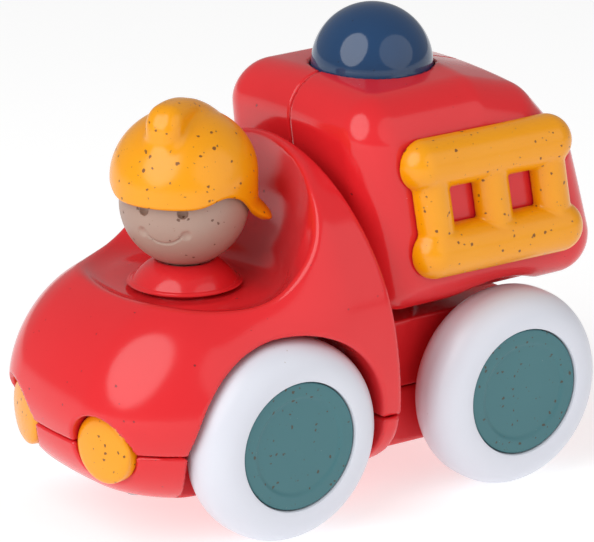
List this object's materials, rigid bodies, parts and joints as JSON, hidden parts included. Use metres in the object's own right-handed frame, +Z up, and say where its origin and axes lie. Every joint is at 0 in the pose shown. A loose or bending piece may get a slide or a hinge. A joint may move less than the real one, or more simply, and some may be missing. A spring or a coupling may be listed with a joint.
{
  "type": "push-along toy fire engine",
  "caption": "Rounded push-along toddler's fire engine with a turning helmeted driver, a press-down dome beacon, side ladders and rolling wheels on steel axles.",
  "frame": {"origin": "centre of the bounding box on the ground plane, under the middle of the vehicle", "axes": "+Z up, the vehicle faces -Y, +X is its left side"},
  "size_m": [0.09, 0.1547, 0.1267],
  "materials": {
    "red_body": "gloss",
    "yellow": "gloss",
    "teal": "satin",
    "navy": "gloss",
    "white_wheel": "satin",
    "face": "satin",
    "steel": "brushed",
    "nylon": "matte",
    "soft_bellows": "matte",
    "brass_reed": "satin"
  },
  "bodies": {
    "body": {"chassis": "red_body", "cab_shell": "red_body", "rear_body_left": "red_body", "rear_body_right": "red_body", "ladder_left": "yellow", "ladder_right": "yellow", "headlight_left": "yellow", "headlight_right": "yellow", "driver_torso": "red_body", "axle_bushes": "nylon", "squeaker_bellows": "soft_bellows", "squeaker_tray": "nylon", "squeaker_reed": "brass_reed", "tray_screws": "steel", "body_screws": "steel", "chassis_screws": "steel"},
    "front_wheels": {"axle_front": "steel", "tyre_front_left": "white_wheel", "tyre_front_right": "white_wheel", "hub_front_left": "teal", "hub_front_right": "teal"},
    "rear_wheels": {"axle_rear": "steel", "tyre_rear_left": "white_wheel", "tyre_rear_right": "white_wheel", "hub_rear_left": "teal", "hub_rear_right": "teal"},
    "driver": {"driver_head": "face", "helmet": "yellow", "neck_pin": "face", "neck_clip": "steel"},
    "beacon": {"beacon_dome": "navy"}
  },
  "joints": [
    {"name": "front_axle_spin", "type": "hinge", "parent": "body", "child": "front_wheels", "pos_m": [0, -0.0288, 0.027], "axis": [1, 0, 0], "continuous": true},
    {"name": "rear_axle_spin", "type": "hinge", "parent": "body", "child": "rear_wheels", "pos_m": [0, 0.044, 0.027], "axis": [1, 0, 0], "continuous": true},
    {"name": "head_turn", "type": "hinge", "parent": "body", "child": "driver", "pos_m": [0, -0.034, 0.0827], "axis": [0, 0, 1], "continuous": true},
    {"name": "beacon_press", "type": "slide", "parent": "body", "child": "beacon", "axis": [0, 0, -1], "range_m": [0, 0.004], "stiffness_N_per_m": 500, "springref_m": -0.002, "deforming": ["squeaker_bellows"]}
  ]
}
